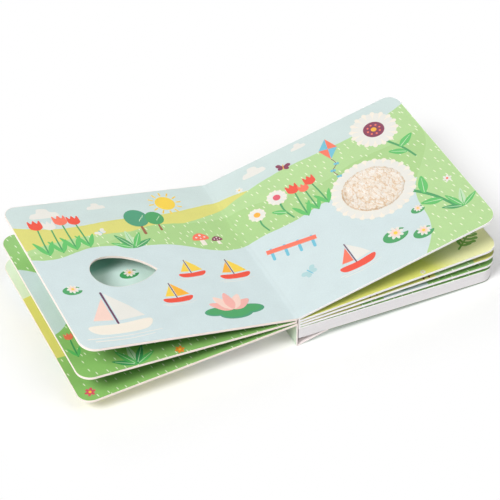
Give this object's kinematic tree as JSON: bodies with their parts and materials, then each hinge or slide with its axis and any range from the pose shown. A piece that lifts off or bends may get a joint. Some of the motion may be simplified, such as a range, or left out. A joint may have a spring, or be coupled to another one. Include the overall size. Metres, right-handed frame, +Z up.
{
  "type": "touch-and-feel sound book",
  "caption": "Thick board book lying open, with a peek-through window, a fleece patch to stroke, a thin wrap-round cover and a sound module with press buttons in its end block.",
  "frame": {"origin": "bottom centre of the open book's bounding box, on the surface it lies on", "axes": "+X across the spread, from the front cover's side to the end block's side; +Y along the spine to the head of the pages; +Z up"},
  "size_m": [0.3598, 0.175, 0.0699],
  "materials": {
    "page_board": "printed board with a satin varnish and pale cut edges",
    "cover_board": "printed board with a satin varnish and pale cut edges",
    "cover_card": "thin printed card with a satin varnish",
    "fleece": "cream long-pile fleece",
    "block_core": "pale layered board",
    "shell_plastic": "fine textured moulding",
    "door_plastic": "fine textured moulding",
    "button_plastic": "smooth moulding",
    "knob_plastic": "smooth moulding",
    "dome_rubber": "soft moulded rubber",
    "circuit_laminate": "solder-masked laminate",
    "chip_resin": "poured resin blob",
    "plated_steel": "plated pressing",
    "magnet_can": "plated can",
    "cone_film": "clear-brown film",
    "spring_strip": "plated spring strip",
    "cell_can": "bright can",
    "screw_steel": "bright steel"
  },
  "bodies": {
    "book": {"board_pages": "page_board", "back_cover": "cover_card", "fleece_patch": "fleece", "sound_block": "block_core", "module_base": "shell_plastic", "module_lid": "shell_plastic", "lid_screws": "screw_steel", "circuit_board": "circuit_laminate", "board_screws": "screw_steel", "sound_chip": "chip_resin", "speaker_basket": "plated_steel", "speaker_cone": "cone_film", "speaker_magnet": "magnet_can", "battery_door": "door_plastic", "door_screw": "screw_steel", "contact_positive": "spring_strip", "contact_negative": "spring_strip", "contact_top_link": "spring_strip", "contact_door_link": "spring_strip", "switch_case": "plated_steel", "return_dome_1": "dome_rubber", "return_dome_2": "dome_rubber", "return_dome_3": "dome_rubber", "return_dome_4": "dome_rubber", "battery_cell_1": "cell_can", "battery_cell_2": "cell_can", "battery_cell_3": "cell_can"},
    "front_cover": {"front_cover": "cover_board"},
    "power_switch": {"switch_slider": "knob_plastic"},
    "press_button_1": {"press_button_1": "button_plastic"},
    "press_button_2": {"press_button_2": "button_plastic"},
    "press_button_3": {"press_button_3": "button_plastic"},
    "press_button_4": {"press_button_4": "button_plastic"}
  },
  "joints": [
    {"name": "front_cover_hinge", "type": "hinge", "parent": "book", "child": "front_cover", "pos_m": [-0.00097, 0, 0.02238], "axis": [0, 1, 0], "range_deg": [-80, 7]},
    {"name": "power_switch_slide", "type": "slide", "parent": "book", "child": "power_switch", "axis": [0, 1, 0], "range_m": [0, 0.0025]},
    {"name": "press_button_1_travel", "type": "slide", "parent": "book", "child": "press_button_1", "axis": [-0.0396, 0, -0.9992], "range_m": [0, 0.0007], "stiffness_N_per_m": 1500, "springref_m": -0.0002, "deforming": ["return_dome_1"]},
    {"name": "press_button_2_travel", "type": "slide", "parent": "book", "child": "press_button_2", "axis": [-0.0396, 0, -0.9992], "range_m": [0, 0.0007], "stiffness_N_per_m": 1500, "springref_m": -0.0002, "deforming": ["return_dome_2"]},
    {"name": "press_button_3_travel", "type": "slide", "parent": "book", "child": "press_button_3", "axis": [-0.0396, 0, -0.9992], "range_m": [0, 0.0007], "stiffness_N_per_m": 1500, "springref_m": -0.0002, "deforming": ["return_dome_3"]},
    {"name": "press_button_4_travel", "type": "slide", "parent": "book", "child": "press_button_4", "axis": [-0.0396, 0, -0.9992], "range_m": [0, 0.0007], "stiffness_N_per_m": 1500, "springref_m": -0.0002, "deforming": ["return_dome_4"]}
  ]
}
